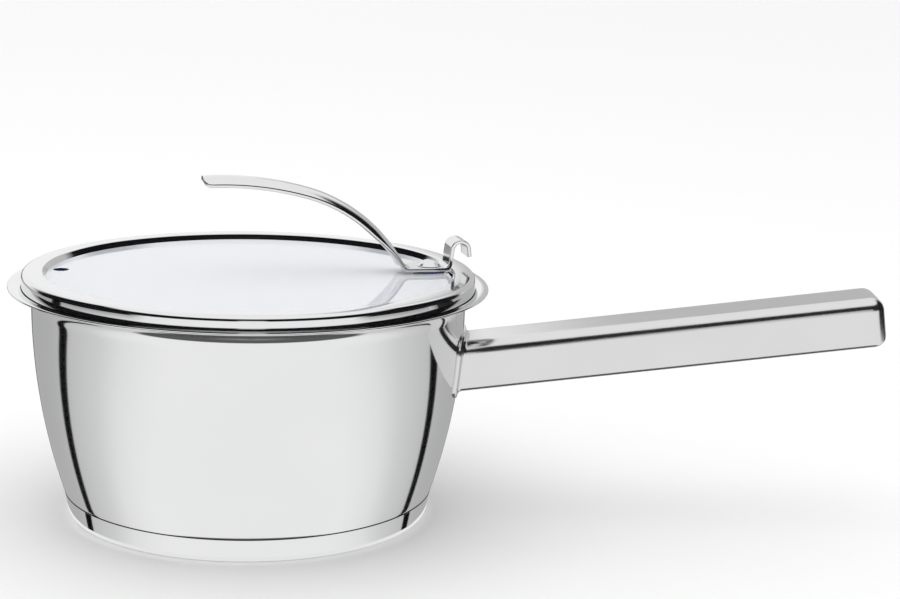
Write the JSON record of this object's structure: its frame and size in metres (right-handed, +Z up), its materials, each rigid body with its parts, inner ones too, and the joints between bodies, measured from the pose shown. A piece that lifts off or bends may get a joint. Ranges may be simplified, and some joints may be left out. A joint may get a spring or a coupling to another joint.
{
  "type": "saucepan with lid",
  "caption": "Saucepan with a tapered mirror-polished steel body, flared lip, hollow long handle, and a flat glass lid with a steel ring and an arched strap handle that ends in a hook.",
  "frame": {"origin": "centre of the base's flat resting face", "axes": "+X along the long handle, away from the pan; +Z up; +Y to the left when looking along +X"},
  "size_m": [0.3309, 0.181, 0.1295],
  "materials": {
    "polished_steel": "mirror-polished stainless steel",
    "base_steel": "polished sides, finely turned resting face",
    "spreader_aluminium": "plain aluminium, enclosed in the base",
    "handle_steel": "satin sides with polished rounded edges",
    "strap_steel": "polished stainless steel",
    "plain_steel": "plain pressed steel",
    "lid_glass": "clear toughened glass with a faint blue tint",
    "seal_rubber": "translucent silicone",
    "pad_rubber": "dark blue-grey silicone washer"
  },
  "bodies": {
    "pan": {"pan_body": "polished_steel", "heat_spreader": "spreader_aluminium", "base_cap": "base_steel", "handle_shell": "handle_steel", "handle_underside": "handle_steel", "handle_bracket": "plain_steel"},
    "lid": {"lid_glass": "lid_glass", "lid_ring": "polished_steel", "glass_seal": "seal_rubber", "strap_handle": "strap_steel", "strap_pad": "pad_rubber", "glass_pad": "pad_rubber", "steel_washer": "plain_steel", "lid_screw": "strap_steel", "cap_nut": "plain_steel"}
  },
  "joints": [
    {"name": "lid_lift", "type": "slide", "parent": "pan", "child": "lid", "axis": [0, 0, 1], "range_m": [0, 0.12]}
  ]
}
